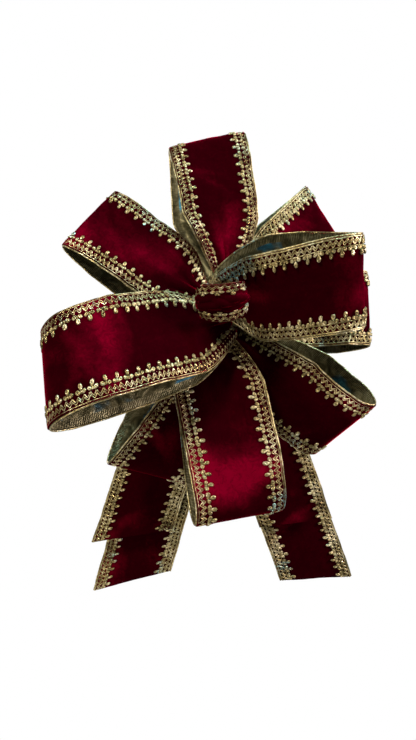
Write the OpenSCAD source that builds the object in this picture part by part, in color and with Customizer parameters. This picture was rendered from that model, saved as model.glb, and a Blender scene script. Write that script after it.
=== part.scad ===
// Pre-made gift bow: wired velvet ribbon with a metallic lining and a picot braid
// sewn along both edges.  Nine loops, four tails and a centre knot on one tied waist.
// Origin: back end of the tied waist.  The bow faces -Y, +Z is up, +X is to the right.

/* [Ribbon] */
// full width of the ribbon between its edge cords
ribbon_w = 63.5; // [60:0.5:66]
// thickness of the velvet with its pile
velvet_t = 0.8; // [0.5:0.1:1]
// thickness of the metallic lining
lining_t = 0.4; // [0.3:0.1:0.5]
// width of the braid sewn along each edge
braid_w = 12.5; // [9:0.5:15]
// thickness of the braid
braid_t = 0.9; // [0.6:0.1:1.1]
// thickness of the wired cord in each edge
cord_d = 1.3; // [0.9:0.1:1.5]

/* [Loops] */
// [clock angle, forward lean, twist at the neck, twist at the tip] of the top loop
top_aim = [94, -9, -36, -2]; // [91:97], [-11:-7], [-41:-31], [-7:3]
// [length, front bow, back bow, fullness, slant of the tip fold, sideways drift]
top_cut = [138, 14, 12, 0.2, 5, -3]; // [130:146], [11:17], [9:15], [0.15:0.25], [3:7], [-5:-1]
// [across, out, depth, gathered width ratio, gather length] of its neck
top_neck = [6, 3, -61, 0.17, 55]; // [4:8], [1:5], [-63:-59], [0.14:0.2], [50:60]
// aim of the upper left loop
upper_left_aim = [146, 3, -31, -21]; // [143:149], [1:5], [-36:-26], [-26:-16]
// cut of the upper left loop
upper_left_cut = [124, 8, 15, 0.2, -3, 3]; // [116:132], [5:11], [12:18], [0.15:0.25], [-5:-1], [1:5]
// neck of the upper left loop
upper_left_neck = [-4, -5, -70, 0.18, 34]; // [-6:-2], [-7:-3], [-72:-68], [0.15:0.21], [29:39]
// aim of the upper right loop
upper_right_aim = [41, -21, -22, -5]; // [38:44], [-23:-19], [-27:-17], [-10:0]
// cut of the upper right loop
upper_right_cut = [137, 12, 12, 0.25, -3, -3]; // [129:145], [9:15], [9:15], [0.2:0.3], [-5:-1], [-5:-1]
// neck of the upper right loop
upper_right_neck = [5, 4, -45, 0.17, 55]; // [3:7], [2:6], [-47:-43], [0.14:0.2], [50:60]
// aim of the right front loop
right_front_aim = [-1, 30, -45, -12]; // [-4:2], [28:32], [-50:-40], [-17:-7]
// cut of the right front loop
right_front_cut = [127, 26, 19, 0.15, -1, 1]; // [119:135], [23:29], [16:22], [0.1:0.2], [-3:1], [-1:3]
// neck of the right front loop
right_front_neck = [-9, -11, -87, 0.34, 45]; // [-11:-7], [-13:-9], [-89:-85], [0.31:0.37], [40:50]
// aim of the right back loop
right_back_aim = [-2, -1, 17, 16]; // [-5:1], [-3:1], [12:22], [11:21]
// cut of the right back loop
right_back_cut = [125, 8, 13, 0.3, 0, -7]; // [117:133], [5:11], [10:16], [0.25:0.35], [-2:2], [-9:-5]
// neck of the right back loop
right_back_neck = [6, 2, -57, 0.17, 45]; // [4:8], [0:4], [-59:-55], [0.14:0.2], [40:50]
// aim of the lower right loop
lower_right_aim = [-44, 10, -21, -33]; // [-47:-41], [8:12], [-26:-16], [-38:-28]
// cut of the lower right loop
lower_right_cut = [131, 14, 16, 0.5, -3, -6]; // [123:139], [11:17], [13:19], [0.45:0.55], [-5:-1], [-8:-4]
// neck of the lower right loop
lower_right_neck = [9, 11, -70, 0.16, 72]; // [7:11], [9:13], [-72:-68], [0.13:0.19], [67:77]
// aim of the bottom loop
bottom_aim = [-81, 20, -10, 17]; // [-84:-78], [18:22], [-15:-5], [12:22]
// cut of the bottom loop
bottom_cut = [160, 15, 13, 0.35, 2, 0]; // [152:168], [12:18], [10:16], [0.3:0.4], [0:4], [-2:2]
// neck of the bottom loop
bottom_neck = [8, 7, -84, 0.16, 57]; // [6:10], [5:9], [-86:-82], [0.13:0.19], [52:62]
// aim of the lower left loop
lower_left_aim = [-116, 3, 58, 17]; // [-119:-113], [1:5], [53:63], [12:22]
// cut of the lower left loop
lower_left_cut = [144, 14, 14, 0.55, 5, 3]; // [136:152], [11:17], [11:17], [0.5:0.6], [3:7], [1:5]
// neck of the lower left loop
lower_left_neck = [-13, 4, -57, 0.18, 45]; // [-15:-11], [2:6], [-59:-55], [0.15:0.21], [40:50]
// aim of the left front loop
left_front_aim = [203, 26, -14, -14]; // [200:206], [24:28], [-19:-9], [-19:-9]
// cut of the left front loop
left_front_cut = [153, 25, 12, 0.8, -12, 10]; // [145:161], [22:28], [10:15], [0.75:0.85], [-14:-10], [8:12]
// neck of the left front loop
left_front_neck = [-22, -15, -113, 0.3, 45]; // [-24:-20], [-17:-13], [-115:-111], [0.27:0.33], [40:50]

/* [Tails] */
// [clock angle, forward lean, twist, length, slant of the cut, depth] of the short left tail
left_short_set = [250, -3, -14, 216, 20, -22]; // [247:253], [-5:-1], [-19:-9], [206:226], [16:24], [-24:-20]
// the same for the long left tail
left_long_set = [253, -5, -14, 262, 23, -12]; // [250:256], [-7:-3], [-19:-9], [252:272], [19:27], [-14:-10]
// the same for the short right tail
right_short_set = [291, -3, 12, 206, -10, -17]; // [288:294], [-5:-1], [7:17], [196:216], [-14:-6], [-19:-15]
// the same for the long right tail
right_long_set = [291, -5, 12, 268, -13, -7]; // [288:294], [-7:-3], [7:17], [258:278], [-17:-9], [-9:-5]

/* [Centre] */
// radius of the gathered waist behind the loops
waist_r = 8; // [6:0.5:8.5]
// diameter of the tie wire
wire_d = 1.2; // [0.8:0.1:1.4]
// width of the gathered centre knot
knot_w = 26; // [22:1:28]

/* [Hidden] */
// radius where every neck leaves the waist
neck_r = 12;
// clear gap between layers sewn face to face
lay = 0.05;
// angle round a loop at which its two ends stop, measured from the tip
loop_end = 165;
// steps round a loop and along a tail
loop_steps = 24;
tail_steps = 12;
// where a tail reaches its full width and its full twist, and how far it bows
tail_gather = 90;
tail_twist = 120;
tail_bow = 6;
tail_neck = 0.2;
// offsets of each layer from the middle of the ribbon, out of a loop being positive
velvet_o = [lay, lay + velvet_t];
lining_o = [-lining_t, 0];
braid_o = [velvet_t + 2 * lay, velvet_t + 2 * lay + braid_t];
cord_o = [-cord_d / 2, cord_d / 2];
// stretches of the ribbon's half width that the braid covers
braid_in = 1 - 2 * braid_w / ribbon_w;

// ---- directions: out along the loop, across it, and towards the front
function dir_out(aim) = [cos(aim[0]) * cos(aim[1]), -sin(aim[1]), sin(aim[0]) * cos(aim[1])];
function dir_across(aim) = [sin(aim[0]), 0, -cos(aim[0])];
function dir_front(aim) = cross(dir_across(aim), dir_out(aim));
function unit(v) = v / norm(v);

// ---- a loop's surface: t is the angle round it from the tip, below 0 on the front half;
// w runs from -1 to 1 across; add is extra width in mm beyond the ribbon's own edge
function loop_len(cut, w) = cut[0] + cut[4] * w;
function loop_out(cut, t, w) = neck_r + (loop_len(cut, w) - neck_r) * (1 + cos(t)) / 2;
function loop_bow(cut, t) = (t < 0 ? cut[1] : -cut[2]) * sin(abs(t)) * (1 + cut[3] * cos(t));
function ease(x) = x >= 1 ? 1 : (1.5 * x - 0.5 * x * x);
function loop_width(neck, r) = neck[3] + (1 - neck[3]) * ease((r - neck_r) / neck[4]);
function loop_turn(aim, cut, r, w) =
    aim[2] + (aim[3] - aim[2]) * (r - neck_r) / (loop_len(cut, w) - neck_r);
function loop_root(aim, neck) =
    [0, neck[2], 0] + dir_across(aim) * neck[0] + dir_out(aim) * neck[1];
function loop_pt(aim, cut, neck, t, w, add) =
    let (r = loop_out(cut, t, w))
    let (a = loop_turn(aim, cut, r, w))
    let (u = (r - neck_r) / (loop_len(cut, w) - neck_r))
    let (across = dir_across(aim) * cos(a) + dir_front(aim) * sin(a))
    let (front = dir_front(aim) * cos(a) - dir_across(aim) * sin(a))
    let (s = w * loop_width(neck, r) * ribbon_w / 2 + add + cut[5] * u * u)
    loop_root(aim, neck) + dir_out(aim) * r + across * s + front * loop_bow(cut, t);
function loop_normal(aim, cut, neck, t, w) =
    unit(cross(
        loop_pt(aim, cut, neck, t, w, 0.5) - loop_pt(aim, cut, neck, t, w, -0.5),
        loop_pt(aim, cut, neck, t + 1, w, 0) - loop_pt(aim, cut, neck, t - 1, w, 0)));
function loop_sec(aim, cut, neck, t, w, add, o) =
    loop_pt(aim, cut, neck, t, w, add) + loop_normal(aim, cut, neck, t, w) * o;
function loop_ring(aim, cut, neck, t, cols, o) = concat(
    [for (c = cols) loop_sec(aim, cut, neck, t, c[0], c[1], o[0])],
    [for (c = back_cols(cols)) loop_sec(aim, cut, neck, t, c[0], c[1], o[1])]);
function loop_shell(aim, cut, neck, cols, o) = [
    for (i = [0 : loop_steps])
        each loop_ring(aim, cut, neck, loop_end * (2 * i / loop_steps - 1), cols, o)];

// ---- a tail's surface: u runs from 0 at the neck to 1 at the cut end
function tail_pt(set, u, w, add) =
    let (r = neck_r + (set[3] + set[4] * w - neck_r) * u)
    let (x = min(1, (r - neck_r) / tail_gather))
    let (g = tail_neck + (1 - tail_neck) * (1.5 * x - 0.5 * pow(x, 3)))
    let (a = set[2] * min(1, (r - neck_r) / tail_twist))
    let (across = dir_across(set) * cos(a) + dir_front(set) * sin(a))
    let (front = dir_front(set) * cos(a) - dir_across(set) * sin(a))
    [0, set[5], 0] + dir_out(set) * r + across * (w * g * ribbon_w / 2 + add)
        + front * tail_bow * sin(180 * u);
function tail_normal(set, u, w) =
    unit(cross(
        tail_pt(set, u, w, 0.5) - tail_pt(set, u, w, -0.5),
        tail_pt(set, u + 0.01, w, 0) - tail_pt(set, u - 0.01, w, 0)));
function tail_sec(set, u, w, add, o) = tail_pt(set, u, w, add) + tail_normal(set, u, w) * o;
function tail_ring(set, u, cols, o) = concat(
    [for (c = cols) tail_sec(set, u, c[0], c[1], o[0])],
    [for (c = back_cols(cols)) tail_sec(set, u, c[0], c[1], o[1])]);
function tail_shell(set, cols, o) = [
    for (i = [0 : tail_steps]) each tail_ring(set, i / tail_steps, cols, o)];

// ---- closed faces of a swept shell: n steps of rings of m points, the first at number b.
// A ring runs across the inner side and back along the outer one; both sides of a
// sheet are cut along the same diagonal, so its thickness stays even where it twists.
function quad(p, q, p1, q1, outer) =
    outer ? [[p, q, p1], [q, q1, p1]] : [[p, q, q1], [p, q1, p1]];
function step_faces(b, b1, m) = [
    for (j = [0 : m - 1])
        each quad(b + j, b + (j + 1) % m, b1 + j, b1 + (j + 1) % m, j >= m / 2)];
function end_faces(b, m, back) = [
    for (j = [0 : m / 2 - 2])
        each back
            ? [[b + j, b + j + 1, b + m - 2 - j], [b + j, b + m - 2 - j, b + m - 1 - j]]
            : [[b + m - 2 - j, b + j + 1, b + j], [b + m - 1 - j, b + m - 2 - j, b + j]]];
function open_faces(b, n, m) = concat(
    [for (i = [0 : n - 1]) each step_faces(b + i * m, b + (i + 1) * m, m)],
    end_faces(b, m, false),
    end_faces(b + n * m, m, true));
function ring_faces(b, n, m) = [
    for (i = [0 : n - 1]) each step_faces(b + i * m, b + ((i + 1) % n) * m, m)];

// ---- the columns each layer is swept from: [place across, extra width in mm]
function back_cols(cols) = [for (i = [1 : len(cols)]) cols[len(cols) - i]];
face_cols = [[-1, 0], [-braid_in, 0], [braid_in, 0], [1, 0]];
low_braid = [[-1, 0], [-braid_in, 0]];
high_braid = [[braid_in, 0], [1, 0]];
low_cord = [[-1, -lay - cord_d], [-1, -lay]];
high_cord = [[1, lay], [1, lay + cord_d]];

module strip(pts, n, m) {
    polyhedron(points = pts, faces = open_faces(0, n, m));
}

module strip_pair(a, b, n, m) {
    polyhedron(
        points = concat(a, b),
        faces = concat(open_faces(0, n, m), open_faces(len(a), n, m)));
}

velvet_c = [0.32, 0.02, 0.05];
lining_c = [0.42, 0.36, 0.18];
braid_c = [0.66, 0.56, 0.3];
cord_c = [0.6, 0.52, 0.3];

module loop_velvet(aim, cut, neck) {
    color(velvet_c)
        strip(loop_shell(aim, cut, neck, face_cols, velvet_o), loop_steps, 8);
}

module loop_lining(aim, cut, neck) {
    color(lining_c)
        strip(loop_shell(aim, cut, neck, face_cols, lining_o), loop_steps, 8);
}

module loop_braids(aim, cut, neck) {
    color(braid_c)
        strip_pair(
            loop_shell(aim, cut, neck, low_braid, braid_o),
            loop_shell(aim, cut, neck, high_braid, braid_o),
            loop_steps, 4);
}

module loop_cords(aim, cut, neck) {
    color(cord_c)
        strip_pair(
            loop_shell(aim, cut, neck, low_cord, cord_o),
            loop_shell(aim, cut, neck, high_cord, cord_o),
            loop_steps, 4);
}

module tail_velvet(set) {
    color(velvet_c) strip(tail_shell(set, face_cols, velvet_o), tail_steps, 8);
}

module tail_lining(set) {
    color(lining_c) strip(tail_shell(set, face_cols, lining_o), tail_steps, 8);
}

module tail_braids(set) {
    color(braid_c)
        strip_pair(
            tail_shell(set, low_braid, braid_o),
            tail_shell(set, high_braid, braid_o),
            tail_steps, 4);
}

module tail_cords(set) {
    color(cord_c)
        strip_pair(
            tail_shell(set, low_cord, cord_o),
            tail_shell(set, high_cord, cord_o),
            tail_steps, 4);
}

// ---- the waist: a fluted bundle that runs forward from the origin, winding between the
// loops' necks to the knot, with a gathered root that branches out to each loop and tail
waist_route = [[0, 0, 0], [0, -20, -1], [0, -42, -3], [-1, -62, -6], [-4, -84, -8],
    [-7, -100, -2], [-7, -116, 3], [-1, -128, 0], [3, -139, -5]];
waist_spans = len(waist_route) - 1;
waist_rings = 3 * waist_spans;
waist_sides = 16;
function route_pt(i) = waist_route[max(0, min(waist_spans, i))];
function spline(p, q, r, s, f) =
    (2 * q + (r - p) * f + (2 * p - 5 * q + 4 * r - s) * f * f
        + (3 * q - p - 3 * r + s) * f * f * f) / 2;
function waist_mid(x) =
    let (i = min(waist_spans - 1, floor(x)))
    spline(route_pt(i - 1), route_pt(i), route_pt(i + 1), route_pt(i + 2), x - i);
function waist_rad(u) = waist_r * (1 - 0.45 * u * u * (3 - 2 * u)) - 1.5 * pow(1 - u, 6);
function waist_ring(u) = [
    for (j = [0 : waist_sides - 1])
        let (a = 360 * j / waist_sides)
        let (r = waist_rad(u) * (1 + 0.06 * cos(180 * j)))
        waist_mid(u * waist_spans) + [r * cos(a), 0, -r * sin(a)]];
function waist_pts() = [for (i = [0 : waist_rings]) each waist_ring(i / waist_rings)];
function waist_faces() = concat(
    [for (i = [0 : waist_rings - 1])
        each step_faces(i * waist_sides, (i + 1) * waist_sides, waist_sides)],
    [for (j = [1 : waist_sides - 2]) [0, j + 1, j]],
    [for (j = [1 : waist_sides - 2])
        let (b = waist_rings * waist_sides)
        [b, b + j, b + j + 1]]);

root_r = [3, 2.2];
root_gap = 3;
module tapered_rod(from, to) {
    d = to - from;
    translate(from)
        rotate([0, acos(d[2] / norm(d)), atan2(d[1], d[0])])
            cylinder(h = norm(d), r1 = root_r[0], r2 = root_r[1], $fn = 24);
}

module loop_branch(aim, neck, place) {
    tapered_rod(waist_route[place], loop_root(aim, neck) + dir_out(aim) * (neck_r - root_gap));
}

module tail_branch(set) {
    tapered_rod([0, set[5], -1], [0, set[5], 0] + dir_out(set) * (neck_r - root_gap));
}

module waist() {
    color(velvet_c) {
        polyhedron(points = waist_pts(), faces = waist_faces());
        loop_branch(top_aim, top_neck, 3);
        loop_branch(upper_left_aim, upper_left_neck, 3);
        loop_branch(upper_right_aim, upper_right_neck, 2);
        loop_branch(right_front_aim, right_front_neck, 3);
        loop_branch(right_back_aim, right_back_neck, 3);
        loop_branch(lower_right_aim, lower_right_neck, 4);
        loop_branch(bottom_aim, bottom_neck, 4);
        loop_branch(lower_left_aim, lower_left_neck, 3);
        loop_branch(left_front_aim, left_front_neck, 4);
        for (set = [left_short_set, left_long_set, right_short_set, right_long_set])
            tail_branch(set);
    }
}

module tie_wire() {
    ring_place = 1.5;
    ring_r = waist_r + 1.2 + wire_d / 2;
    color(cord_c)
        translate(waist_mid(ring_place))
            rotate([90, 0, 0])
                rotate_extrude($fn = 48)
                    translate([ring_r, 0])
                        circle(d = wire_d, $fn = 16);
}

// ---- the centre knot: a short puffed turn of ribbon whose ends tuck in behind
knot_steps = 20;
knot_mid = [4, -150, -7];
knot_tilt = [18, -8, 0];
knot_half = [15, 7];
knot_back = 0.55;
function knot_tall(t) = knot_back + (1 - knot_back) * (1 - sin(t)) / 2;
function knot_turn(v) = [
    v[0] * cos(knot_tilt[1]) + v[2] * sin(knot_tilt[1]),
    v[1] * cos(knot_tilt[0]) - v[2] * sin(knot_tilt[0]),
    v[2] * cos(knot_tilt[0]) * cos(knot_tilt[1]) + v[1] * sin(knot_tilt[0])
        - v[0] * sin(knot_tilt[1])];
function knot_pt(t, w, o) = knot_mid + knot_turn([
    (knot_half[0] + o) * cos(t),
    (knot_half[1] + o) * sin(t),
    w * knot_tall(t) * knot_w / 2]);
function knot_ring(t, cols, o) = concat(
    [for (c = cols) knot_pt(t, c[0], o[0])],
    [for (c = back_cols(cols)) knot_pt(t, c[0], o[1])]);
function knot_shell(cols, o) = [
    for (i = [0 : knot_steps - 1]) each knot_ring(-360 * i / knot_steps, cols, o)];

module knot_velvet() {
    color(velvet_c)
        polyhedron(points = knot_shell(face_cols, velvet_o), faces = ring_faces(0, knot_steps, 8));
}

module knot_lining() {
    color(lining_c)
        polyhedron(points = knot_shell(face_cols, lining_o), faces = ring_faces(0, knot_steps, 8));
}

module knot_braids() {
    a = knot_shell(low_braid, braid_o);
    b = knot_shell(high_braid, braid_o);
    color(braid_c)
        polyhedron(
            points = concat(a, b),
            faces = concat(ring_faces(0, knot_steps, 4), ring_faces(len(a), knot_steps, 4)));
}

waist();
tie_wire();
knot_velvet();
knot_lining();
knot_braids();
loop_velvet(top_aim, top_cut, top_neck);  // top_velvet
loop_lining(top_aim, top_cut, top_neck);  // top_lining
loop_braids(top_aim, top_cut, top_neck);  // top_braids
loop_cords(top_aim, top_cut, top_neck);  // top_edge_cords
loop_velvet(upper_left_aim, upper_left_cut, upper_left_neck);  // upper_left_velvet
loop_lining(upper_left_aim, upper_left_cut, upper_left_neck);  // upper_left_lining
loop_braids(upper_left_aim, upper_left_cut, upper_left_neck);  // upper_left_braids
loop_cords(upper_left_aim, upper_left_cut, upper_left_neck);  // upper_left_edge_cords
loop_velvet(upper_right_aim, upper_right_cut, upper_right_neck);  // upper_right_velvet
loop_lining(upper_right_aim, upper_right_cut, upper_right_neck);  // upper_right_lining
loop_braids(upper_right_aim, upper_right_cut, upper_right_neck);  // upper_right_braids
loop_cords(upper_right_aim, upper_right_cut, upper_right_neck);  // upper_right_edge_cords
loop_velvet(right_front_aim, right_front_cut, right_front_neck);  // right_front_velvet
loop_lining(right_front_aim, right_front_cut, right_front_neck);  // right_front_lining
loop_braids(right_front_aim, right_front_cut, right_front_neck);  // right_front_braids
loop_cords(right_front_aim, right_front_cut, right_front_neck);  // right_front_edge_cords
loop_velvet(right_back_aim, right_back_cut, right_back_neck);  // right_back_velvet
loop_lining(right_back_aim, right_back_cut, right_back_neck);  // right_back_lining
loop_braids(right_back_aim, right_back_cut, right_back_neck);  // right_back_braids
loop_cords(right_back_aim, right_back_cut, right_back_neck);  // right_back_edge_cords
loop_velvet(lower_right_aim, lower_right_cut, lower_right_neck);  // lower_right_velvet
loop_lining(lower_right_aim, lower_right_cut, lower_right_neck);  // lower_right_lining
loop_braids(lower_right_aim, lower_right_cut, lower_right_neck);  // lower_right_braids
loop_cords(lower_right_aim, lower_right_cut, lower_right_neck);  // lower_right_edge_cords
loop_velvet(bottom_aim, bottom_cut, bottom_neck);  // bottom_velvet
loop_lining(bottom_aim, bottom_cut, bottom_neck);  // bottom_lining
loop_braids(bottom_aim, bottom_cut, bottom_neck);  // bottom_braids
loop_cords(bottom_aim, bottom_cut, bottom_neck);  // bottom_edge_cords
loop_velvet(lower_left_aim, lower_left_cut, lower_left_neck);  // lower_left_velvet
loop_lining(lower_left_aim, lower_left_cut, lower_left_neck);  // lower_left_lining
loop_braids(lower_left_aim, lower_left_cut, lower_left_neck);  // lower_left_braids
loop_cords(lower_left_aim, lower_left_cut, lower_left_neck);  // lower_left_edge_cords
loop_velvet(left_front_aim, left_front_cut, left_front_neck);  // left_front_velvet
loop_lining(left_front_aim, left_front_cut, left_front_neck);  // left_front_lining
loop_braids(left_front_aim, left_front_cut, left_front_neck);  // left_front_braids
loop_cords(left_front_aim, left_front_cut, left_front_neck);  // left_front_edge_cords
tail_velvet(left_short_set);  // left_short_tail_velvet
tail_lining(left_short_set);  // left_short_tail_lining
tail_braids(left_short_set);  // left_short_tail_braids
tail_cords(left_short_set);  // left_short_tail_edge_cords
tail_velvet(left_long_set);  // left_long_tail_velvet
tail_lining(left_long_set);  // left_long_tail_lining
tail_braids(left_long_set);  // left_long_tail_braids
tail_cords(left_long_set);  // left_long_tail_edge_cords
tail_velvet(right_short_set);  // right_short_tail_velvet
tail_lining(right_short_set);  // right_short_tail_lining
tail_braids(right_short_set);  // right_short_tail_braids
tail_cords(right_short_set);  // right_short_tail_edge_cords
tail_velvet(right_long_set);  // right_long_tail_velvet
tail_lining(right_long_set);  // right_long_tail_lining
tail_braids(right_long_set);  // right_long_tail_braids
tail_cords(right_long_set);  // right_long_tail_edge_cords
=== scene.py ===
# %% [markdown]
# # A pre-made gift bow in velvet with a gold picot braid
# The real bow is one long piece of wired ribbon, wound into loops, pinched at its waist
# and tied, with cut lengths of the same ribbon hanging below as tails.  Every stretch of
# it is four things sewn together: a velvet face, a gold lining, a braid along each edge
# and a wired cord in each edge.  This lesson models each of them once, flat, as it lies
# on the sewing table, and then lays it along every loop and tail.

import math

import bpy
import numpy as np
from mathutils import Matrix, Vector


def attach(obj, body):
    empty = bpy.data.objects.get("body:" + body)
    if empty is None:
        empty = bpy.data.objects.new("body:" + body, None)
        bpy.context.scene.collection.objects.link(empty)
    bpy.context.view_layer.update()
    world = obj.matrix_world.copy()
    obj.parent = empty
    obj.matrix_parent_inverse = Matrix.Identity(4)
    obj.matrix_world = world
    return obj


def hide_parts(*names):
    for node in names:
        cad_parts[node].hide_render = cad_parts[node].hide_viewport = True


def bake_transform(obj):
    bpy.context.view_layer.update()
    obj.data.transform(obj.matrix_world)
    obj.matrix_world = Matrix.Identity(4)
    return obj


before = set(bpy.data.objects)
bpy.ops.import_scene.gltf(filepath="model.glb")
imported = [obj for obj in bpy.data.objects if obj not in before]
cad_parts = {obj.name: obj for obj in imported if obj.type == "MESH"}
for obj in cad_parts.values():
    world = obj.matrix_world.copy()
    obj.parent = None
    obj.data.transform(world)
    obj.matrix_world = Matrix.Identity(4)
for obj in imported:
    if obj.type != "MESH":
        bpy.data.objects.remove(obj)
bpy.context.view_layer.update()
MM = 0.001

# %% [markdown]
# The ribbon's own sizes, in millimetres, as it lies flat.  They are the same as the
# solids' sizes, so every piece lands where its solid is.

# %% Sizes of the ribbon
RIBBON_W = 63.5
HALF_W = RIBBON_W / 2
VELVET_T = 0.8
LINING_T = 0.4
BRAID_W = 12.5
CORD_D = 1.3
NECK_R = 12.0  # from a neck's root to where its loop opens out
LOOP_END = 165.0  # degrees from the tip at which a loop ends and is tucked into the waist
BRAID_KEEPS = 0.6  # the most of a gathered half width that the braid takes

# %% [markdown]
# Each loop is a lens-shaped turn of ribbon.  It leaves the waist at a clock angle, leans
# forward or back, and twists a little from its neck to its tip.  Each row below holds the
# aim (clock angle, lean, twist at the neck, twist at the tip), the cut (length, front bow,
# back bow, fullness, slant of the fold, sideways drift) and the neck (across, out, depth,
# gathered width, gather length).  A tail's row holds its clock angle, lean, twist, length,
# slant of the cut end, and depth.  Angles are in degrees and lengths in millimetres.

# %% The nine loops and four tails
LOOPS = {
    "top": ([94, -9, -36, -2], [138, 14, 12, 0.2, 5, -3], [6, 3, -61, 0.17, 55]),
    "upper_left": ([146, 3, -31, -21], [124, 8, 15, 0.2, -3, 3], [-4, -5, -70, 0.18, 34]),
    "upper_right": ([41, -21, -22, -5], [137, 12, 12, 0.25, -3, -3], [5, 4, -45, 0.17, 55]),
    "right_front": ([-1, 30, -45, -12], [127, 26, 19, 0.15, -1, 1], [-9, -11, -87, 0.34, 45]),
    "right_back": ([-2, -1, 17, 16], [125, 8, 13, 0.3, 0, -7], [6, 2, -57, 0.17, 45]),
    "lower_right": ([-44, 10, -21, -33], [131, 14, 16, 0.5, -3, -6], [9, 11, -70, 0.16, 72]),
    "bottom": ([-81, 20, -10, 17], [160, 15, 13, 0.35, 2, 0], [8, 7, -84, 0.16, 57]),
    "lower_left": ([-116, 3, 58, 17], [144, 14, 14, 0.55, 5, 3], [-13, 4, -57, 0.18, 45]),
    "left_front": ([203, 26, -14, -14], [153, 25, 12, 0.8, -12, 10], [-22, -15, -113, 0.3, 45]),
}
TAILS = {
    "left_short": [250, -3, -14, 216, 20, -22],
    "left_long": [253, -5, -14, 262, 23, -12],
    "right_short": [291, -3, 12, 206, -10, -17],
    "right_long": [291, -5, 12, 268, -13, -7],
}
TAIL_GATHER = 90.0
TAIL_TWIST = 120.0
TAIL_BOW = 6.0
TAIL_NECK = 0.2
TAIL_PIVOT_DROP = 8.0
TAIL_TUCK = 60.0

# %% [markdown]
# The waist is a crooked bundle that winds forward between the loops' necks.  Its middle
# line passes through a few places, joined by a smooth curve.

# %% The waist's middle line
WAIST_ROUTE = np.array([
    [0, 0, 0], [0, -20, -1], [0, -42, -3], [-1, -62, -6], [-4, -84, -8],
    [-7, -100, -2], [-7, -116, 3], [-1, -128, 0], [3, -139, -5],
], float)
WAIST_R = 8.0


def waist_mid(x):
    """A place on the middle line; x counts the route's places from 0."""
    x = np.clip(np.asarray(x, float), 0, len(WAIST_ROUTE) - 1)
    i = np.minimum(x.astype(int), len(WAIST_ROUTE) - 2)
    f = (x - i)[..., None]
    p, q, r, s = (WAIST_ROUTE[np.clip(i + k, 0, len(WAIST_ROUTE) - 1)] for k in (-1, 0, 1, 2))
    return 0.5 * (2 * q + (r - p) * f + (2 * p - 5 * q + 4 * r - s) * f**2
                  + (3 * q - p - 3 * r + s) * f**3)


def waist_at(depth):
    x = np.interp(-depth, -WAIST_ROUTE[:, 1], np.arange(len(WAIST_ROUTE)))
    return waist_mid(x)


# %% [markdown]
# A ribbon's path is a rule that turns a place on the flat ribbon into a place in space:
# how far along it, how far across it, and how high above its middle.  The pinch at the
# waist gathers the ribbon: the velvet crowds together in the middle and folds into soft
# pleats, while the stiff braid keeps its width for as long as it can.

# %% Directions and gathers
def directions(aim):
    clock, lean = math.radians(aim[0]), math.radians(aim[1])
    out = np.array(
        [math.cos(clock) * math.cos(lean), -math.sin(lean), math.sin(clock) * math.cos(lean)]
    )
    across = np.array([math.sin(clock), 0.0, -math.cos(clock)])
    return out, across, np.cross(across, out)


def ease(x):
    x = np.clip(x, 0, 1)
    return 1.5 * x - 0.5 * x * x


def gathered(v, ratio):
    half = ratio * HALF_W
    braid = np.minimum(BRAID_W, BRAID_KEEPS * half)
    velvet = HALF_W - BRAID_W
    inside = np.clip(v, -HALF_W, HALF_W)
    a = np.abs(inside)
    s = np.minimum(a, velvet) / velvet * (half - braid)
    s = s + np.clip(a - velvet, 0, BRAID_W) / BRAID_W * braid
    return np.sign(inside) * s + (v - inside)


PLEAT_DEEP = 2.3
PLEAT_FADE = 32.0
TAIL_PLEAT_FADE = 30.0
WAVE_RUN = 1000.0  # mm in which a wave of frequency 1 goes once


def seed_of(name):
    return sum((i + 1) * ord(c) for i, c in enumerate(name))


class Folds:
    """The pleats and soft waves of one stretch of ribbon, different on every stretch."""

    def __init__(self, name):
        rng = np.random.default_rng(seed_of(name))
        self.phase = rng.uniform(0, 2 * math.pi, 12)
        self.size = rng.uniform(0.6, 1.3, 12)

    def pleats(self, v, near, side):
        x = v / RIBBON_W * 2 * math.pi
        wave = (
            np.cos(2.3 * x + self.phase[0] + side) * self.size[0]
            + np.cos(3.9 * x + self.phase[1] + 2 * side) * 0.7 * self.size[1]
            + np.cos(6.4 * x + self.phase[2] - side) * 0.35 * self.size[2]
        )
        return PLEAT_DEEP * wave * near

    def waves(self, s, v):
        """Broad soft waves, in mm, from s mm along and v mm across."""
        a, b = s / WAVE_RUN * 2 * math.pi, v / WAVE_RUN * 2 * math.pi
        return (
            0.7 * np.sin(17 * a + 9 * b + self.phase[3])
            + 0.5 * np.sin(31 * a - 14 * b + self.phase[4])
            + 0.22 * np.sin(58 * a + 47 * b + self.phase[5])
            + 0.16 * np.sin(83 * a - 71 * b + self.phase[6])
        )


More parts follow.
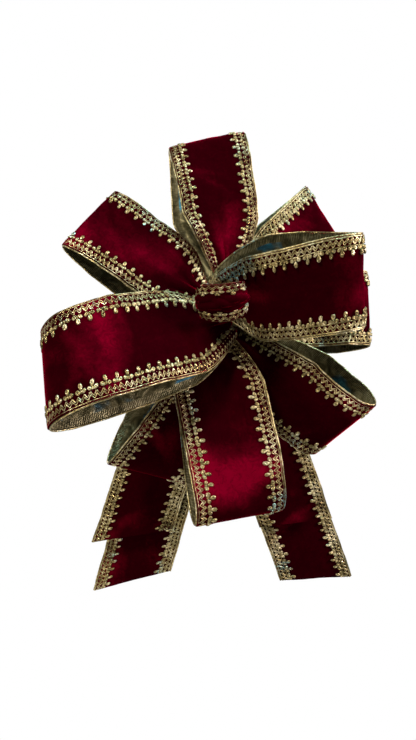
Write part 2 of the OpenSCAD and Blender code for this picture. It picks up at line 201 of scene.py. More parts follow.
# %% The path of a loop
class LoopPath:
    """A place on a loop from t, the degrees round it from the tip, and v, the mm across."""

    span = (-180.0, 180.0)
    step = 0.5

    def __init__(self, name):
        self.aim, self.cut, self.neck = LOOPS[name]
        self.out, self.across, self.front = directions(self.aim)
        self.root = (
            np.array([0.0, self.neck[2], 0.0])
            + self.across * self.neck[0]
            + self.out * self.neck[1]
        )
        self.pivot = self.root + self.out * NECK_R
        self.folds = Folds(name)

    def middle(self, t, v):
        t = np.asarray(t, float)
        v = np.asarray(v, float)
        w = np.clip(v / HALF_W, -1, 1)
        ts = np.clip(t, -LOOP_END, LOOP_END)
        tr = np.radians(ts)
        length = self.cut[0] + self.cut[4] * w
        r = NECK_R + (length - NECK_R) * (1 + np.cos(tr)) / 2
        bow = np.where(ts < 0, self.cut[1], -self.cut[2])
        bow = bow * np.sin(np.abs(tr)) * (1 + self.cut[3] * np.cos(tr))
        u = (r - NECK_R) / (length - NECK_R)
        ratio = self.neck[3] + (1 - self.neck[3]) * ease((r - NECK_R) / self.neck[4])
        a = np.radians(self.aim[2] + (self.aim[3] - self.aim[2]) * u)
        side = self.across * np.cos(a)[..., None] + self.front * np.sin(a)[..., None]
        face = self.front * np.cos(a)[..., None] - self.across * np.sin(a)[..., None]
        s = gathered(v, ratio) + self.cut[5] * u * u
        near = np.exp(-np.clip(r - NECK_R, 0, None) / PLEAT_FADE)
        near = near * np.clip((180 - np.abs(t)) / 20, 0, 1)
        bow = bow + self.folds.pleats(v, near, np.where(ts < 0, 0.0, 2.1))
        bow = bow + self.folds.waves(np.sign(ts) * (length - r), v) * np.clip(u * 4, 0, 1)
        p = self.root + self.out * r[..., None] + side * s[..., None] + face * bow[..., None]
        tuck = np.clip((np.abs(t) - LOOP_END) / (180 - LOOP_END), 0, 1)[..., None]
        goal = waist_at(self.root[1])
        goal = goal + (self.pivot - goal) * 0.3 + (p - self.pivot) * 0.35
        return p * (1 - tuck) + goal * tuck


# %% The path of a tail
class TailPath:
    """The same for a tail, where t runs from 0 at the neck to 1 at its cut end."""

    span = (-0.1, 1.0)
    step = 0.004

    def __init__(self, name):
        self.set = TAILS[name]
        self.out, self.across, self.front = directions(self.set)
        self.root = np.array([0.0, self.set[5], 0.0])
        self.pivot = np.array([0.0, self.set[5], -TAIL_PIVOT_DROP])
        self.folds = Folds(name)

    def middle(self, t, v):
        t = np.asarray(t, float)
        v = np.asarray(v, float)
        w = np.clip(v / HALF_W, -1, 1)
        tt = np.clip(t, 0, 1)
        r = NECK_R + (self.set[3] + self.set[4] * w - NECK_R) * tt
        r = r + np.minimum(t, 0) * TAIL_TUCK
        x = np.clip((r - NECK_R) / TAIL_GATHER, 0, 1)
        ratio = TAIL_NECK + (1 - TAIL_NECK) * (1.5 * x - 0.5 * x**3)
        a = np.radians(self.set[2] * np.clip((r - NECK_R) / TAIL_TWIST, 0, 1))
        side = self.across * np.cos(a)[..., None] + self.front * np.sin(a)[..., None]
        face = self.front * np.cos(a)[..., None] - self.across * np.sin(a)[..., None]
        near = np.exp(-np.clip(r - NECK_R, 0, None) / TAIL_PLEAT_FADE)
        bow = TAIL_BOW * np.sin(math.pi * tt) + self.folds.pleats(v, near, 0.0)
        bow = bow + self.folds.waves(r, v) * np.clip(tt * 5, 0, 1)
        s = gathered(v, ratio)
        return self.root + self.out * r[..., None] + side * s[..., None] + face * bow[..., None]


# %% [markdown]
# The knot is a short turn of the same ribbon, pulled tight over the loops' necks.  Its
# path goes once round, drawn in at the back and puffed and creased at the front.

# %% The path of the knot
KNOT_MID = np.array([4.0, -150.0, -7.0])
KNOT_TILT = (18.0, -8.0)
KNOT_HALF = (15.0, 7.0)
KNOT_W = 26.0
KNOT_BACK = 0.55
KNOT_PUFF = 2.6
KNOT_CREASE = 1.5
KNOT_SWAY = 1.6


class KnotPath:
    """The same for the knot, where t runs once round it, from 0 to 360 degrees."""

    span = (0.0, 360.0)
    step = 0.5

    def middle(self, t, v):
        tr = -np.radians(np.asarray(t, float))
        v = np.asarray(v, float)
        front = (1 - np.sin(tr)) / 2
        tall = KNOT_BACK + (1 - KNOT_BACK) * front
        z = gathered(v, np.full(v.shape, KNOT_W / RIBBON_W)) * tall
        w = np.clip(v / (HALF_W - BRAID_W), -1, 1)
        puff = KNOT_PUFF * (1 - w * w) * front
        crease = np.sin(4.6 * w + 2.6 * np.sin(tr * 2 + 0.6) + 2.2)
        crease = crease + 0.45 * np.sin(9 * w - 3 * np.cos(tr * 3))
        puff = puff + KNOT_CREASE * crease * (1 - w**4) * (0.25 + 0.75 * front)
        x = (KNOT_HALF[0] + puff) * np.cos(tr)
        y = (KNOT_HALF[1] + puff) * np.sin(tr)
        z = z + KNOT_SWAY * np.sin(tr * 2 + 1.0) * front * (1 - 0.5 * w * w)
        a, b = np.radians(KNOT_TILT)
        turned = np.stack([
            x * np.cos(b) + z * np.sin(b),
            y * np.cos(a) - z * np.sin(a),
            z * np.cos(a) * np.cos(b) + y * np.sin(a) - x * np.sin(b),
        ], -1)
        return KNOT_MID + turned


# %% [markdown]
# The height above the ribbon's middle runs along the surface's own normal, and the way
# along it is measured in real millimetres, so that the braid's repeats stay even.

# %% Normals and lengths along a path
def on_path(path, t, v, h):
    p = path.middle(t, v)
    along = path.middle(t + path.step, v) - path.middle(t - path.step, v)
    across = path.middle(t, v + 0.4) - path.middle(t, v - 0.4)
    n = np.cross(across, along)
    n = n / np.maximum(np.linalg.norm(n, axis=-1, keepdims=True), 1e-9)
    return p + n * np.asarray(h, float)[..., None]


def ruler(path, v, steps=600):
    t = np.linspace(*path.span, steps)
    p = path.middle(t, np.full(steps, float(v)))
    d = np.concatenate([[0.0], np.cumsum(np.linalg.norm(np.diff(p, axis=0), axis=1))])
    return t, d


# %% [markdown]
# ## The flat ribbon
# A ribbon's face is a long grid.  It is added flat, and a helper lays it along a path by
# moving each of its points.  The flat place of each point is kept in the UV map, in
# metres, so weaves and pile follow the cloth wherever it turns.

# %% Start and finish a piece
def start_clean():
    if bpy.context.object and bpy.context.object.mode != "OBJECT":
        bpy.ops.object.mode_set(mode="OBJECT")
    bpy.ops.object.select_all(action="DESELECT")


def points(obj):
    co = np.empty(len(obj.data.vertices) * 3)
    obj.data.vertices.foreach_get("co", co)
    return co.reshape(-1, 3)


def set_points(obj, co):
    obj.data.vertices.foreach_set("co", np.ascontiguousarray(co, dtype=float).ravel())
    obj.data.update()


def flat_grid(name, along, across):
    start_clean()
    bpy.ops.mesh.primitive_grid_add(x_subdivisions=along, y_subdivisions=across, size=1)
    obj = bpy.context.object
    obj.name = name
    return obj


def set_uv(obj, u, v):
    layer = obj.data.uv_layers.active or obj.data.uv_layers.new(name="UVMap")
    loops = np.empty(len(obj.data.loops), dtype=int)
    obj.data.loops.foreach_get("vertex_index", loops)
    layer.data.foreach_set("uv", np.stack([u[loops], v[loops]], -1).ravel().astype(np.float32))


def in_edit(*steps):
    """Run edit operators on the whole of the active mesh."""
    bpy.ops.object.mode_set(mode="EDIT")
    for step in steps:
        bpy.ops.mesh.select_all(action="SELECT")
        step()
    bpy.ops.object.mode_set(mode="OBJECT")


# %% [markdown]
# A face is laid with its outer side away from the middle of its loop, given its thickness
# with a Solidify modifier, and smoothed.  The points are drawn a little closer together
# near the ribbon's edges, where the selvedge is.

# %% Lay a face along a path
FACE_GAP = 0.05
EDGE_CROWDING = 0.14
SEAM_REACH = 0.00002


def ribbon_face(name, path, thick, along, across, profile):
    """profile turns the places on the sheet into its outer face's heights."""
    obj = flat_grid(name, along, across)
    co = points(obj)
    t, d = ruler(path, 0.0)
    s = (co[:, 0] + 0.5) * d[-1]
    x = 2 * co[:, 1]
    v = HALF_W * (x + EDGE_CROWDING * np.sin(math.pi * x))
    tt = np.interp(s, d, t)
    height = profile(v, s)
    p = on_path(path, tt, v, height)
    set_uv(obj, s * MM, v * MM)
    set_points(obj, p * MM)
    facing = (p - on_path(path, tt, v, height - thick))[len(p) // 2]
    poly = obj.data.polygons[len(obj.data.polygons) // 2]
    if np.dot(np.array(poly.normal), facing) < 0:
        in_edit(bpy.ops.mesh.flip_normals)
    wall = obj.modifiers.new("thickness", "SOLIDIFY")
    wall.thickness = thick * MM
    wall.offset = -1
    bpy.ops.object.modifier_apply(modifier=wall.name)
    if isinstance(path, KnotPath):
        in_edit(lambda: bpy.ops.mesh.remove_doubles(threshold=SEAM_REACH))
    bpy.ops.object.shade_smooth_by_angle(angle=math.radians(60))
    return obj


def velvet_height(v, s):
    return np.full(v.shape, FACE_GAP + VELVET_T)


# %% [markdown]
# The lining's two edges are woven tighter than its middle: a flat selvedge 4.5 mm wide,
# with a ridge where it meets the middle.  The middle is slack, and crumples away from
# the velvet.

# %% The lining's ridge and crumples
SELVEDGE_W = 4.5
RIDGE_HALF = 1.5
RIDGE_HIGH = 0.12
LINING_SLACK = 0.35
LINING_GAP = 0.1


def lining_height(v, s):
    inward = HALF_W - np.abs(v)
    off = inward - SELVEDGE_W
    ridge = RIDGE_HIGH * np.cos(math.pi * off / RIDGE_HALF) * (np.abs(off) < RIDGE_HALF)
    crumple = np.sin(s / 2.9 + 1.3 * np.sin(v / 3.1)) * np.sin(v / 2.3 + 0.9 * np.sin(s / 4.1))
    crumple = crumple * np.clip(off / 3, 0, 1)
    return ridge + LINING_SLACK * (crumple - 1) - LINING_GAP


# %% [markdown]
# ## One repeat of the braid
# The braid is gold thread worked into two zigzags between two straight threads, and a
# row of three-lobed picots that point in across the velvet: two plump side lobes and one
# long drop.  One repeat, 7.9 mm long, is made from rings and short rods and then repeated
# with an Array.  In the repeat x runs along the edge, y in from the edge and z up.

# %% A ring of thread, drawn out to a drop
PITCH = 7.9
DROP_SPREAD = 0.16
RING_HIGH = 1.25


def thread_ring(x, y, z, radius, thread, stretch, turn):
    bpy.ops.mesh.primitive_torus_add(
        major_segments=10, minor_segments=5, major_radius=radius, minor_radius=thread,
        location=(0, 0, 0),
    )
    ring = bpy.context.object
    co = points(ring)
    co[:, 1] *= stretch
    co[:, 0] *= 1 + DROP_SPREAD * co[:, 1] / (radius * stretch)
    co[:, 2] *= RING_HIGH
    c, s = math.cos(turn), math.sin(turn)
    set_points(ring, np.stack(
        [x + co[:, 0] * c - co[:, 1] * s, y + co[:, 0] * s + co[:, 1] * c, z + co[:, 2]], -1))
    return ring


# %% A strand of thread between two places
def strand(start, end, radius, cuts):
    bpy.ops.mesh.primitive_cylinder_add(
        vertices=5, radius=radius, depth=1, end_fill_type="NOTHING", location=(0, 0, 0)
    )
    rod = bpy.context.object
    bpy.ops.object.mode_set(mode="EDIT")
    for i in range(1, cuts):
        bpy.ops.mesh.select_all(action="SELECT")
        bpy.ops.mesh.bisect(plane_co=(0, 0, i / cuts - 0.5), plane_no=(0, 0, 1))
    bpy.ops.object.mode_set(mode="OBJECT")
    co = points(rod)
    a, b = np.array(start, float), np.array(end, float)
    d = (b - a) / np.linalg.norm(b - a)
    side = np.cross(d, [0, 0, 1.0])
    up = np.array([0, 0, 1.0])
    set_points(rod, a + (b - a) * (co[:, 2:3] + 0.5) + side * co[:, 0:1] + up * co[:, 1:2])
    return rod


# %% A zigzag of two teeth
TOOTH = 2.7
TOOTH_LIFT = 0.25


def zigzag(low, thread, lift):
    places = [(i * PITCH / 4, low + TOOTH * (i % 2), lift + TOOTH_LIFT * (i % 2)) for i in range(5)]
    return [strand(a, b, thread, 1) for a, b in zip(places, places[1:])]


# %% Join the repeat
LOBE_OUT, LOBE_TURN = 2.0, math.radians(38)
start_clean()
middle = PITCH / 2
repeat = [
    strand((0, 0.7, 0.35), (PITCH, 0.7, 0.35), 0.55, 2),
    strand((0, 6.6, 0.3), (PITCH, 6.6, 0.3), 0.42, 2),
    *zigzag(1.5, 0.42, 0.45),
    *zigzag(3.2, 0.42, 0.4),
    thread_ring(middle - LOBE_OUT, 8.2, 0.9, 0.72, 0.62, 1.3, LOBE_TURN),
    thread_ring(middle + LOBE_OUT, 8.2, 0.9, 0.72, 0.62, 1.3, -LOBE_TURN),
    thread_ring(middle, 11.2, 1.0, 0.74, 0.66, 1.75, 0.0),
    thread_ring(middle, 8.0, 0.6, 0.4, 0.42, 1.5, 0.0),
]
start_clean()
for piece in repeat:
    piece.select_set(True)
bpy.context.view_layer.objects.active = repeat[0]
bpy.ops.object.join()
braid_repeat = bpy.context.object
braid_repeat.name = "braid_repeat"
print("one repeat of the braid has", len(braid_repeat.data.polygons), "faces")


# %% [markdown]
# The braid's repeat is copied along each edge, as many times as the edge is long, and laid
# on the velvet.  Both edges of a stretch are joined into one piece.

# %% Lay the braids
BRAID_GAP = 0.1


def one_braid(path, edge):
    t, d = ruler(path, edge * HALF_W)
    count = max(4, round(d[-1] / PITCH))
    start_clean()
    obj = braid_repeat.copy()
    obj.data = braid_repeat.data.copy()
    bpy.context.collection.objects.link(obj)
    obj.select_set(True)
    bpy.context.view_layer.objects.active = obj
    row = obj.modifiers.new("row", "ARRAY")
    row.use_relative_offset = False
    row.use_constant_offset = True
    row.constant_offset_displace = (PITCH, 0, 0)
    row.count = count
    bpy.ops.object.modifier_apply(modifier=row.name)
    co = points(obj)
    s = co[:, 0] / (count * PITCH) * d[-1]
    tt = np.interp(s, d, t)
    if isinstance(path, KnotPath):
        tt = s / d[-1] * 360
    v = edge * (HALF_W - co[:, 1])
    p = on_path(path, tt, v, VELVET_T + BRAID_GAP + co[:, 2])
    set_uv(obj, s * MM, co[:, 1] * MM)
    set_points(obj, p * MM)
    return obj


def join(objs, name):
    start_clean()
    for o in objs:
        o.select_set(True)
    bpy.context.view_layer.objects.active = objs[0]
    bpy.ops.object.join()
    obj = bpy.context.object
    obj.name = name
    return obj


def outward(obj):
    start_clean()
    obj.select_set(True)
    bpy.context.view_layer.objects.active = obj
    in_edit(lambda: bpy.ops.mesh.normals_make_consistent(inside=False))
    bpy.ops.object.shade_smooth()


def braid_pair(name, path):
    obj = join([one_braid(path, -1), one_braid(path, 1)], name)
    outward(obj)
    return obj


# %% [markdown]
# ## The wired cords
# A long grid is rolled into a thin rod, laid just outside each edge, and capped.

# %% Close a rolled grid
def close_ends(reach=0.00001):
    """Weld the seam of the active mesh and fill the holes at its ends."""
    in_edit(lambda: bpy.ops.mesh.remove_doubles(threshold=reach))
    bpy.ops.object.mode_set(mode="EDIT")
    bpy.ops.mesh.select_all(action="DESELECT")
    bpy.ops.mesh.select_non_manifold()
    bpy.ops.mesh.edge_face_add()
    bpy.ops.object.mode_set(mode="OBJECT")


# %% Lay the cords
CORD_GAP = 0.05
CORD_LIFT = 0.2


def one_cord(path, edge, steps):
    obj = flat_grid("cord", steps, 8)
    co = points(obj)
    t, d = ruler(path, edge * HALF_W)
    s = (co[:, 0] + 0.5) * d[-1]
    a = co[:, 1] * 2 * math.pi
    v = edge * (HALF_W + CORD_D / 2 + CORD_GAP + CORD_D / 2 * np.cos(a))
    h = CORD_D / 2 * np.sin(a) + CORD_LIFT
    p = on_path(path, np.interp(s, d, t), v, h)
    set_uv(obj, s * MM, a * CORD_D / 2 * MM)
    set_points(obj, p * MM)
    close_ends()
    return obj


def cord_pair(name, path, steps):
    obj = join([one_cord(path, -1, steps), one_cord(path, 1, steps)], name)
    outward(obj)
    return obj


# %% [markdown]
# ## Making every loop and tail
# Each stretch gets its four pieces, and its solids are hidden.  A ribbon bends where it
# leaves the waist, just outside the pinch.

# %% Make a stretch
BEND_BEFORE, BEND_AFTER = 4.0, 14.0  # mm before and after the pivot
LOOP_STEPS, TAIL_STEPS = 130, 100


def settle(obj, path, node):
    start = path.pivot - path.out * BEND_BEFORE
    end = path.pivot + path.out * BEND_AFTER
    tuple(start * MM)
    tuple(end * MM)
    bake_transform(obj)
    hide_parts(node)


pieces = {"velvet": [], "lining": [], "braid": [], "cord": []}


def make_stretch(path, label, along):
    velvet = ribbon_face(label + "_velvet_face", path, VELVET_T, along, 36, velvet_height)
    lining = ribbon_face(label + "_lining_back", path, LINING_T, along, 40, lining_height)
    braids = braid_pair(label + "_picot_braids", path)
    cords = cord_pair(label + "_wired_cords", path, along * 2)
    for obj, kind, node in (
        (velvet, "velvet", "velvet"), (lining, "lining", "lining"),
        (braids, "braid", "braids"), (cords, "cord", "edge_cords"),
    ):
        settle(obj, path, label + "_" + node)
        pieces[kind].append(obj)
    length = ruler(path, 0.0)[1][-1] * MM
    print(label, "ribbon", round(length * 1000), "mm long")


for name in LOOPS:
    make_stretch(LoopPath(name), name, LOOP_STEPS)
for name in TAILS:
    make_stretch(TailPath(name), name + "_tail", TAIL_STEPS)

# %% [markdown]
# ## The knot
# The knot's ribbon goes once round, so its velvet and lining are closed rings.  Where its
# end was cut, a few gold threads have frayed out at the top.

# %% Frayed threads
FRAY_R = 0.34


def frayed_thread(start, lean, bend, length):
    obj = flat_grid("fray", 14, 6)
    co = points(obj)
    f = co[:, 0] + 0.5
    a = co[:, 1] * 2 * math.pi
    radius = FRAY_R * (1 - 0.55 * f)
    x = start[0] + lean * f * length + bend * np.sin(f * 6.0) + radius * np.cos(a)
    y = start[1] - 1.5 * np.sin(f * 5.0 + bend) + radius * np.sin(a)
    set_points(obj, np.stack([x, y, start[2] + f * length], -1) * MM)
    set_uv(obj, f * length * MM, a * MM)
    in_edit(lambda: bpy.ops.mesh.remove_doubles(threshold=0.000005))
    return obj


# %% Make the knot
knot = KnotPath()
knot_velvet = ribbon_face("knot_velvet_face", knot, VELVET_T, 150, 60, velvet_height)
knot_lining = ribbon_face("knot_lining_back", knot, LINING_T, 90, 36, lining_height)
fray = [
    frayed_thread((-4.5 + 0.5 * i, -149.5 - 0.5 * (i % 3), 4.0 + 0.3 * i), lean, bend, length)
    for i, (lean, bend, length) in enumerate(
        [(-0.5, 0.9, 8.0), (-0.15, -0.8, 10.0), (0.1, 1.0, 11.0), (0.35, -0.9, 9.0),
         (0.6, 0.8, 8.0), (0.4, 1.2, 7.0)])
]
knot_braids = join([one_braid(knot, -1), one_braid(knot, 1), *fray], "knot_picot_braids")
outward(knot_braids)
knot_length = ruler(knot, 0.0)[1][-1] * MM
for obj, kind, node in (
    (knot_velvet, "velvet", "knot_velvet"), (knot_lining, "lining", "knot_lining"),
    (knot_braids, "braid", "knot_braids"),
):
    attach(obj, "waist")
    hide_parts(node)
    pieces[kind].append(obj)
bpy.data.objects.remove(braid_repeat)
print("knot ribbon", round(knot_length * 1000), "mm long")

# %% [markdown]
# ## The gathered waist
# Behind the loops all the ribbon is drawn together into one bundle of folds.  A long grid
# is rolled round the waist's middle line, fluted into folds that wind slowly round it, and
# drawn in under the tie wire.

# %% Roll the waist
TIE_PLACE, TIE_SPREAD, TIE_BITE = 1.5 / 8, 0.035, 0.16
WAIST_LONG = 0.14
BACK_ROUND, FRONT_ROUND = 0.02, 0.015  # the shares of the length that round the ends off


def waist_radius(u):
    radius = WAIST_R * (1 - 0.45 * u * u * (3 - 2 * u)) - 1.5 * (1 - u) ** 6
    tie = np.exp(-(((u - TIE_PLACE) / TIE_SPREAD) ** 2))
    return radius * (1 - TIE_BITE * tie)


waist = flat_grid("gathered_waist", 160, 96)
co = points(waist)
u = co[:, 0] + 0.5
a = -co[:, 1] * 2 * math.pi
closing = np.sqrt(np.clip(1 - np.clip(1 - u / BACK_ROUND, 0, 1) ** 2, 0, 1))
front_end = np.clip((u - 1 + FRONT_ROUND) / FRONT_ROUND, 0, 1)
closing = closing * np.sqrt(np.clip(1 - front_end**2, 0, 1))
fold = 0.10 * np.cos(11 * a + 5 * u + np.sin(9 * u)) + 0.05 * np.cos(6 * a - 8 * u)
radius = waist_radius(u) * (1 + fold) * np.maximum(closing, 0.02)
middle = waist_mid(u * (len(WAIST_ROUTE) - 1))
set_uv(waist, u * WAIST_LONG, a * WAIST_R * MM)
rolled = middle + np.stack([radius * np.cos(a), np.zeros_like(a), radius * np.sin(a)], -1)
set_points(waist, rolled * MM)
close_ends()
outward(waist)
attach(waist, "waist")
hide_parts("waist")
pieces["velvet"].append(waist)

# %% [markdown]
# ## The finishes
# Shader maths is written as plain expressions through one small class that wraps a socket.

# %% A socket that does maths
class Sock:
    def __init__(self, mat, socket):
        self.mat, self.socket = mat, socket

    def _math(self, operation, other=0.0, first=None):
        node = self.mat.node_tree.nodes.new("ShaderNodeMath")
        node.operation = operation
        values = (self, other) if first is None else (first, self)
        for place, value in zip(node.inputs, values):
            if isinstance(value, Sock):
                self.mat.node_tree.links.new(value.socket, place)
            else:
                place.default_value = value
        return Sock(self.mat, node.outputs[0])

    def __add__(self, other):
        return self._math("ADD", other)

    __radd__ = __add__

    def __mul__(self, other):
        return self._math("MULTIPLY", other)

    __rmul__ = __mul__

    def __sub__(self, other):
        return self._math("SUBTRACT", other)

    def __rsub__(self, other):
        return self._math("SUBTRACT", first=other)

    def __abs__(self):
        return self._math("ABSOLUTE")

    def cosine(self):
        return self._math("COSINE")


# %% One method for every other node
def make_node(mat, kind, settings, out=0, **inputs):
    node = mat.node_tree.nodes.new(kind)
    for key, value in settings.items():
        if key == "stops":
            ramp = node.color_ramp
            for i, (place, colour) in enumerate(value):
                stop = ramp.elements[i] if i < 2 else ramp.elements.new(place)
                stop.position, stop.color = place, (*colour, 1)
        else:
            setattr(node, key, value)
    for key, value in inputs.items():
        name = int(key[1:]) if key[1:].isdigit() else key.replace("_", " ")
        place = node.inputs[name]
        if isinstance(value, Sock):
            mat.node_tree.links.new(value.socket, place)
        else:
            place.default_value = value
    return Sock(mat, node.outputs[out])


def new_material(name, **shader):
    mat = bpy.data.materials.new(name)
    mat.use_nodes = True
    base = mat.node_tree.nodes["Principled BSDF"]
    for key, value in shader.items():
        base.inputs[key.replace("_", " ")].default_value = value
    return mat, base


def plug(mat, base, **inputs):
    for key, value in inputs.items():
        mat.node_tree.links.new(value.socket, base.inputs[key.replace("_", " ")])


def dress(objs, mat):
    for obj in objs:
        obj.data.materials.clear()
        obj.data.materials.append(mat)


def noise(mat, place, scale, detail=3.0, rough=0.5, warp=0.0):
    return make_node(mat, "ShaderNodeTexNoise", {}, 0, Vector=place, Scale=scale, Detail=detail,
                     Roughness=rough, Distortion=warp)


def ramp(mat, factor, stops):
    return make_node(mat, "ShaderNodeValToRGB", {"stops": stops}, 0, Fac=factor)


def step_between(mat, value, low, high):
    """0 below low, 1 above high, and a smooth step between."""
    return make_node(mat, "ShaderNodeMapRange", {"interpolation_type": "SMOOTHSTEP"}, 0,
                     Value=value, From_Min=low, From_Max=high)


def blend_colours(mat, factor, first, second):
    return make_node(mat, "ShaderNodeMix", {"data_type": "RGBA"}, 2, i0=factor, i6=first, i7=second)


# %% [markdown]
# Velvet is a short dense pile.  It is nearly black seen straight on and bright where it
# turns away, which is what the sheen gives.  Brushed places lie differently, so broad soft
# patches are lighter or darker in the base colour; the lighter ones look crushed and are
# also painted highlights on the pile, and the pile has a fine grain.

# %% Velvet
velvet, base = new_material(
    "crimson_velvet", Sheen_Weight=0.9, Sheen_Roughness=0.26,
    Sheen_Tint=(0.95, 0.0, 0.045, 1), Specular_IOR_Level=0.0,
)
uv = make_node(velvet, "ShaderNodeTexCoord", {}, 2)
place = make_node(velvet, "ShaderNodeTexCoord", {}, 3)
brushed_and_lit_patches = noise(velvet, place, 14.0, 2.5, 0.55, 0.6)
crushed = noise(velvet, place, 190.0, 5.0, 0.75, 1.6)
grain = noise(velvet, uv, 1500.0, 2.0)
stretched = make_node(velvet, "ShaderNodeMapping", {}, 0, Vector=uv, Scale=(30.0, 240.0, 1.0))
streak = noise(velvet, stretched, 1.0)
# the broad open-pile patches lighten the velvet's colour: partly crushed pile, partly painted
# highlight
open_pile_and_highlight = step_between(velvet, brushed_and_lit_patches, 0.48, 0.76)
nap_and_highlight = open_pile_and_highlight * (0.15 + 0.85 * crushed) + 0.30 * crushed + 0.10 * streak + 0.10 * grain
colour = ramp(velvet, nap_and_highlight, [
    (0.10, (0.0085, 0.0, 0.0006)), (0.28, (0.0185, 0.0, 0.0012)),
    (0.50, (0.058, 0.0, 0.0034)), (0.80, (0.14, 0.0, 0.0080)),
])
height = 0.5 * crushed + 0.3 * streak + 0.35 * grain
bump = make_node(velvet, "ShaderNodeBump", {}, 0, Height=height, Strength=0.45, Distance=0.0009)
plug(velvet, base, Base_Color=colour, Roughness=0.62 + 0.3 * crushed, Normal=bump)
dress(pieces["velvet"], velvet)

# %% [markdown]
# The braid is metallic thread, antique gold, duller down in the weave and bright where the
# thread is rubbed.  Each strand is wound, so a fine slanting ripple runs over it, and here
# and there a cool green-blue painted reflection is mixed into the metal's colour as a glint.

# %% Gold thread
gold, base = new_material("antique_gold_thread", Metallic=0.8, Specular_IOR_Level=0.6)
place = make_node(gold, "ShaderNodeTexCoord", {}, 3)
wound = make_node(gold, "ShaderNodeTexWave", {"bands_direction": "DIAGONAL"}, 1, Vector=place,
                  Scale=560.0, Distortion=2.5, Detail=1.0)
tarnish = noise(gold, place, 60.0, 5.0, 0.6)
rubbed = noise(gold, place, 620.0)
tone = 0.5 * tarnish + 0.5 * rubbed
warm = ramp(gold, tone, [
    (0.34, (0.085, 0.055, 0.014)), (0.50, (0.36, 0.27, 0.10)), (0.64, (0.86, 0.75, 0.45)),
])
# painted reflection: cool green-blue glints mixed into the gold's colour in scattered patches
glint_patch = step_between(gold, noise(gold, place, 26.0, 2.0), 0.58, 0.72)
painted_cool_glint = step_between(gold, rubbed, 0.45, 0.60) * glint_patch * 0.75
colour = blend_colours(gold, painted_cool_glint, warm, (0.30, 0.72, 0.74, 1))
bump = make_node(gold, "ShaderNodeBump", {}, 0, Height=0.6 * wound + 0.4 * rubbed, Strength=0.35,
                 Distance=0.0003)
plug(gold, base, Base_Color=colour, Roughness=0.16 + 0.28 * tarnish, Normal=bump)
dress(pieces["braid"] + pieces["cord"], gold)

# %% [markdown]
# The lining is a thin gold cloth with a metal weft.  It is dull olive gold, crumpled into
# small facets, and the crumples also paint light and shade into its colour; in its middle,
# patches of deep teal are a painted reflection of cool sky light.  The selvedge along each
# edge is plain gold with fine cross ribs, whose grooves are painted darker as shade.

# %% Gold lining
RIB_PITCH = 1.2 * MM
RIBS_FROM, RIBS_FULL = 26.2 * MM, 27.0 * MM  # out from the ribbon's middle
lame, base = new_material("crinkled_gold_lining", Metallic=0.7, Specular_IOR_Level=0.5)
uv = make_node(lame, "ShaderNodeTexCoord", {}, 2)
place = make_node(lame, "ShaderNodeTexCoord", {}, 3)
crumple = make_node(lame, "ShaderNodeTexVoronoi", {"feature": "SMOOTH_F1"}, 0, Vector=place,
                    Scale=120.0, Smoothness=0.35, Randomness=1.0)
creases_and_facet_light = noise(lame, place, 75.0, 6.0, 0.68, 1.8)
weft = make_node(lame, "ShaderNodeTexWave", {"bands_direction": "X"}, 1, Vector=uv, Scale=420.0,
                 Distortion=0.5)
across = make_node(lame, "ShaderNodeSeparateXYZ", {}, 1, Vector=uv)
along = make_node(lame, "ShaderNodeSeparateXYZ", {}, 0, Vector=uv)
middle_mask = 1 - step_between(lame, abs(across), RIBS_FROM, RIBS_FULL)
rib_relief_and_shade = (along * (2 * math.pi / RIB_PITCH)).cosine() * (1 - middle_mask)
# painted light and shade: the crumple noise lightens and darkens the facets' colour, and the rib
# term darkens the rib grooves
gold_with_painted_crumple_light = ramp(lame, 0.75 * creases_and_facet_light + 0.10 * weft + 0.09 * rib_relief_and_shade, [
    (0.30, (0.040, 0.033, 0.012)), (0.46, (0.16, 0.13, 0.052)), (0.60, (0.50, 0.43, 0.23)),
])
# painted reflection: teal patches of cool sky light on the lining's middle
painted_reflection_patch = step_between(lame, noise(lame, place, 21.0, 3.5, 0.62), 0.53, 0.60) * middle_mask
teal_reflection = ramp(lame, creases_and_facet_light, [(0.35, (0.004, 0.045, 0.075)), (0.65, (0.045, 0.26, 0.36))])
colour = blend_colours(lame, painted_reflection_patch * 0.9, gold_with_painted_crumple_light, teal_reflection)
height = 0.5 * crumple + 0.6 * creases_and_facet_light + 0.03 * weft + 0.12 * rib_relief_and_shade
bump = make_node(lame, "ShaderNodeBump", {}, 0, Height=height, Strength=0.75, Distance=0.0022)
plug(lame, base, Base_Color=colour, Roughness=0.27 + 0.4 * creases_and_facet_light, Normal=bump)
dress(pieces["lining"], lame)
dress([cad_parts["tie_wire"]], gold)

# %% [markdown]
# ## Floor, light and camera
# The bow hangs clear of a plain pale floor in soft studio light.

# %% Floor
FLOOR_R, FLOOR_Z = 0.42, -0.80
start_clean()
bpy.ops.mesh.primitive_cylinder_add(
    vertices=96, radius=FLOOR_R, depth=0.01, location=(0, 0, FLOOR_Z)
)
floor = bpy.context.object
floor.name = "floor"
pale, base = new_material("pale_floor", Roughness=0.9, Base_Color=(0.85, 0.85, 0.85, 1))
dress([floor], pale)


# %% Lights
BOW_HEART = Vector((0, -0.06, -0.03))
WHITE_SEEN, SKY_LIT = 1.0, 0.22


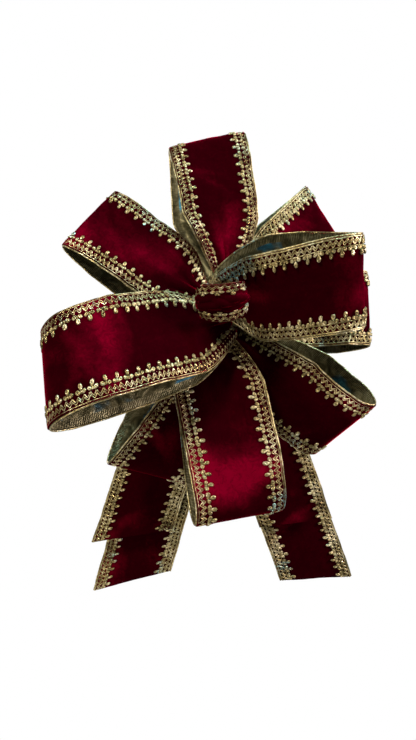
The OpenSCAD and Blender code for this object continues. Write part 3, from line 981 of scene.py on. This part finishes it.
def soft_light(name, place, size, watts, colour):
    data = bpy.data.lights.new(name, "AREA")
    data.shape = "DISK"
    data.size, data.energy, data.color = size, watts, colour
    obj = bpy.data.objects.new(name, data)
    bpy.context.collection.objects.link(obj)
    obj.location = place
    aim = BOW_HEART - Vector(place)
    obj.rotation_euler = aim.to_track_quat("-Z", "Y").to_euler()


soft_light("key", (-0.45, -1.0, 0.8), 0.30, 15, (1.0, 0.97, 0.92))
soft_light("right_rim", (1.15, -0.30, 0.35), 0.35, 20, (1.0, 0.88, 0.96))
soft_light("cool_top", (0.50, -0.35, 1.1), 0.25, 11, (0.40, 0.82, 1.0))
soft_light("under", (-0.6, -0.8, -0.8), 0.4, 5, (1.0, 0.95, 0.88))
soft_light("back", (-0.5, 1.1, 0.4), 0.9, 10, (1.0, 1.0, 1.0))

world = bpy.data.worlds.new("studio")
bpy.context.scene.world = world
world.use_nodes = True
nodes, links = world.node_tree.nodes, world.node_tree.links
nodes.clear()
seen = nodes.new("ShaderNodeBackground")
seen.inputs[0].default_value, seen.inputs[1].default_value = (1, 1, 1, 1), WHITE_SEEN
lit = nodes.new("ShaderNodeBackground")
lit.inputs[0].default_value, lit.inputs[1].default_value = (0.9, 0.95, 1, 1), SKY_LIT
rays = nodes.new("ShaderNodeLightPath")
mix = nodes.new("ShaderNodeMixShader")
end = nodes.new("ShaderNodeOutputWorld")
links.new(rays.outputs["Is Camera Ray"], mix.inputs[0])
links.new(lit.outputs[0], mix.inputs[1])
links.new(seen.outputs[0], mix.inputs[2])
links.new(mix.outputs[0], end.inputs[0])

# %% [markdown]
# The camera looks straight at the front of the bow from a little below its centre.

# %% Camera
bpy.context.scene.view_settings.view_transform = "Standard"
eye = bpy.data.cameras.new("camera")
eye.lens = 31.9
eye.sensor_width = 36.0
camera = bpy.data.objects.new("camera", eye)
bpy.context.collection.objects.link(camera)
camera.location = (-0.0056, -0.596, -0.0548)
camera.rotation_euler = (math.radians(90), 0, 0)
bpy.context.scene.camera = camera
